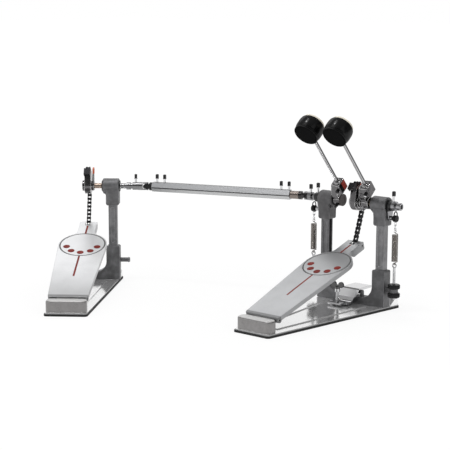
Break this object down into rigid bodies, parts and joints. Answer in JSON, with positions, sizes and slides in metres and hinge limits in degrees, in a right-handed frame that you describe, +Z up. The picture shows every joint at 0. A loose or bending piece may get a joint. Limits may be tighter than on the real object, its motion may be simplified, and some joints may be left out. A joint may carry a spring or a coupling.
{
  "type": "double bass drum pedal",
  "caption": "Double bass drum pedal: chain-driven master pedal with two beaters, return springs and hoop clamp, joined by a telescoping shaft with universal joints to a slave pedal.",
  "frame": {"origin": "on the floor under the master pedal's axle, on the centreline of its footboard", "axes": "+X to the player's right along the master axle, +Y towards the drum, +Z up"},
  "size_m": [0.8382, 0.5946, 0.4463],
  "materials": {
    "mat_rubber": "matt black",
    "base_steel": "bright satin",
    "heel_casting": "grey satin",
    "cast_grey": "grey cast, satin",
    "post_grey": "dark grey satin",
    "steel_pin": "polished",
    "axle_steel": "zinc plated, warm tint",
    "black_steel": "black, semi-gloss",
    "chain_steel": "oiled black steel",
    "clamp_chrome": "chrome",
    "board_alloy": "brushed silver",
    "grip_red": "red, matt",
    "rod_chrome": "chrome",
    "head_black": "gloss black",
    "felt_cream": "pressed felt",
    "spring_steel": "dark spring steel",
    "shank_steel": "brown-grey",
    "tube_alloy": "light grey satin"
  },
  "bodies": {
    "master_frame": {"master_mat": "mat_rubber", "master_base_plate": "base_steel", "master_heel_block": "heel_casting", "master_heel_pin": "steel_pin", "master_foot_casting": "cast_grey", "right_post": "post_grey", "left_post": "post_grey", "right_housing": "cast_grey", "left_housing": "cast_grey", "master_bearings": "black_steel", "spring_brackets": "cast_grey", "eye_bolts": "steel_pin", "tension_nuts": "black_steel", "clamp_lower_jaw": "cast_grey"},
    "hoop_jaw": {"clamp_upper_jaw": "clamp_chrome"},
    "hoop_screw": {"clamp_screw": "clamp_chrome"},
    "right_axle": {"master_axle": "axle_steel", "master_cam": "cast_grey", "master_chain_wrap": "chain_steel", "right_beater_clamp": "cast_grey", "right_rocker": "rod_chrome", "master_axle_screws": "black_steel"},
    "right_beater": {"right_rod": "rod_chrome", "right_head_shell": "head_black", "right_head_felt": "felt_cream"},
    "master_board": {"master_footboard": "board_alloy", "master_grip_dots": "grip_red"},
    "master_strand": {"master_chain": "chain_steel"},
    "master_top_links": {"master_chain_pair": "chain_steel"},
    "left_axle": {"left_axle": "steel_pin", "left_beater_clamp": "cast_grey", "left_rocker": "rod_chrome", "left_axle_screws": "black_steel", "left_cross": "black_steel"},
    "left_beater": {"left_rod": "rod_chrome", "left_head_shell": "head_black", "left_head_felt": "felt_cream"},
    "right_return_spring": {"right_spring": "spring_steel"},
    "left_return_spring": {"left_spring": "spring_steel"},
    "shaft_inner_rod": {"inner_rod": "shank_steel"},
    "slave_frame": {"slave_mat": "mat_rubber", "slave_base_plate": "base_steel", "slave_heel_block": "heel_casting", "slave_heel_pin": "steel_pin", "slave_foot_casting": "cast_grey", "slave_post": "post_grey", "slave_housing": "cast_grey", "slave_bearings": "black_steel"},
    "shaft_tube": {"drive_tube": "tube_alloy", "drive_tube_screws": "black_steel", "slave_yoke": "black_steel"},
    "slave_axle": {"slave_axle": "steel_pin", "slave_cam": "cast_grey", "slave_chain_wrap": "chain_steel", "slave_axle_screws": "black_steel", "slave_cross": "black_steel"},
    "slave_board": {"slave_footboard": "board_alloy", "slave_grip_dots": "grip_red"},
    "slave_strand": {"slave_chain": "chain_steel"},
    "slave_top_links": {"slave_chain_pair": "chain_steel"}
  },
  "joints": [
    {"name": "right_beater_swing", "type": "hinge", "parent": "master_frame", "child": "right_axle", "pos_m": [0, 0, 0.24], "axis": [-1, 0, 0], "range_deg": [0, 43], "stiffness_Nm_per_rad": 0.8, "springref_deg": -34.38},
    {"name": "master_board_hinge", "type": "hinge", "parent": "master_frame", "child": "master_board", "pos_m": [0, -0.3355, 0.032], "axis": [-1, 0, 0], "range_deg": [0, 3.66]},
    {"name": "master_chain_toe", "type": "hinge", "parent": "master_board", "child": "master_strand", "pos_m": [0, -0.0069, 0.14164], "axis": [1, 0, 0], "range_deg": [0, 10.12]},
    {"name": "master_chain_top", "type": "hinge", "parent": "master_strand", "child": "master_top_links", "pos_m": [0, 0.02411, 0.2317], "axis": [-1, 0, 0], "range_deg": [0, 24.65]},
    {"name": "right_spring_swing", "type": "hinge", "parent": "master_frame", "child": "right_return_spring", "pos_m": [0.1045, 0, 0.1106], "axis": [1, 0, 0], "range_deg": [0, 9.75], "deforming": ["right_spring"]},
    {"name": "right_rod_height", "type": "slide", "parent": "right_axle", "child": "right_beater", "axis": [0, -0.6561, 0.7547], "range_m": [-0.01, 0.015]},
    {"name": "left_beater_swing", "type": "hinge", "parent": "master_frame", "child": "left_axle", "pos_m": [-0.145, 0, 0.24], "axis": [-1, 0, 0], "range_deg": [0, 43], "stiffness_Nm_per_rad": 0.8, "springref_deg": -34.38},
    {"name": "left_spring_swing", "type": "hinge", "parent": "master_frame", "child": "left_return_spring", "pos_m": [-0.1218, 0, 0.1106], "axis": [1, 0, 0], "range_deg": [0, 9.75], "deforming": ["left_spring"]},
    {"name": "left_rod_height", "type": "slide", "parent": "left_axle", "child": "left_beater", "axis": [0, -0.6561, 0.7547], "range_m": [-0.01, 0.015]},
    {"name": "inner_rod_spin", "type": "hinge", "parent": "master_frame", "child": "shaft_inner_rod", "pos_m": [-0.145, 0, 0.24], "axis": [-0.9449, -0.3272, 0], "range_deg": [0, 43.01]},
    {"name": "shaft_length", "type": "slide", "parent": "master_frame", "child": "slave_frame", "axis": [-0.9449, -0.3272, 0], "range_m": [0, 0.07]},
    {"name": "tube_spin", "type": "hinge", "parent": "slave_frame", "child": "shaft_tube", "pos_m": [-0.53432, -0.13481, 0.24], "axis": [-0.9449, -0.3272, 0], "range_deg": [0, 43.01]},
    {"name": "slave_axle_spin", "type": "hinge", "parent": "slave_frame", "child": "slave_axle", "pos_m": [-0.6467, -0.22325, 0.24], "axis": [-0.7859, -0.6184, 0], "range_deg": [0, 43.01]},
    {"name": "slave_board_hinge", "type": "hinge", "parent": "slave_frame", "child": "slave_board", "pos_m": [-0.43922, -0.4869, 0.032], "axis": [-0.7859, -0.6184, 0], "range_deg": [0, 3.66]},
    {"name": "slave_chain_toe", "type": "hinge", "parent": "slave_board", "child": "slave_strand", "pos_m": [-0.64243, -0.22867, 0.14164], "axis": [0.7859, 0.6184, 0], "range_deg": [0, 10.12]},
    {"name": "slave_chain_top", "type": "hinge", "parent": "slave_strand", "child": "slave_top_links", "pos_m": [-0.66161, -0.2043, 0.2317], "axis": [-0.7859, -0.6184, 0], "range_deg": [0, 24.65]},
    {"name": "clamp_screw_turn", "type": "hinge", "parent": "master_frame", "child": "hoop_screw", "pos_m": [-0.011, -0.055, 0.03], "axis": [0, 0, 1], "range_deg": [0, 720]},
    {"name": "hoop_jaw_hinge", "type": "hinge", "parent": "master_frame", "child": "hoop_jaw", "pos_m": [-0.011, 0.006, 0.0315], "axis": [-1, 0, 0], "range_deg": [0, 3.51]}
  ],
  "couplings": [
    {"joint": "master_board_hinge", "follows": "right_beater_swing", "ratio": 0.084927},
    {"joint": "master_chain_toe", "follows": "right_beater_swing", "ratio": 0.23486},
    {"joint": "master_chain_top", "follows": "right_beater_swing", "ratio": 0.5722},
    {"joint": "right_spring_swing", "follows": "right_beater_swing", "ratio": 0.22636},
    {"joint": "left_spring_swing", "follows": "left_beater_swing", "ratio": 0.22636},
    {"joint": "inner_rod_spin", "follows": "left_beater_swing", "ratio": 1},
    {"joint": "tube_spin", "follows": "left_beater_swing", "ratio": 1},
    {"joint": "slave_axle_spin", "follows": "left_beater_swing", "ratio": 1},
    {"joint": "slave_board_hinge", "follows": "left_beater_swing", "ratio": 0.084927},
    {"joint": "slave_chain_toe", "follows": "left_beater_swing", "ratio": 0.23486},
    {"joint": "slave_chain_top", "follows": "left_beater_swing", "ratio": 0.5722},
    {"joint": "hoop_jaw_hinge", "follows": "clamp_screw_turn", "ratio": 0.0048611}
  ]
}
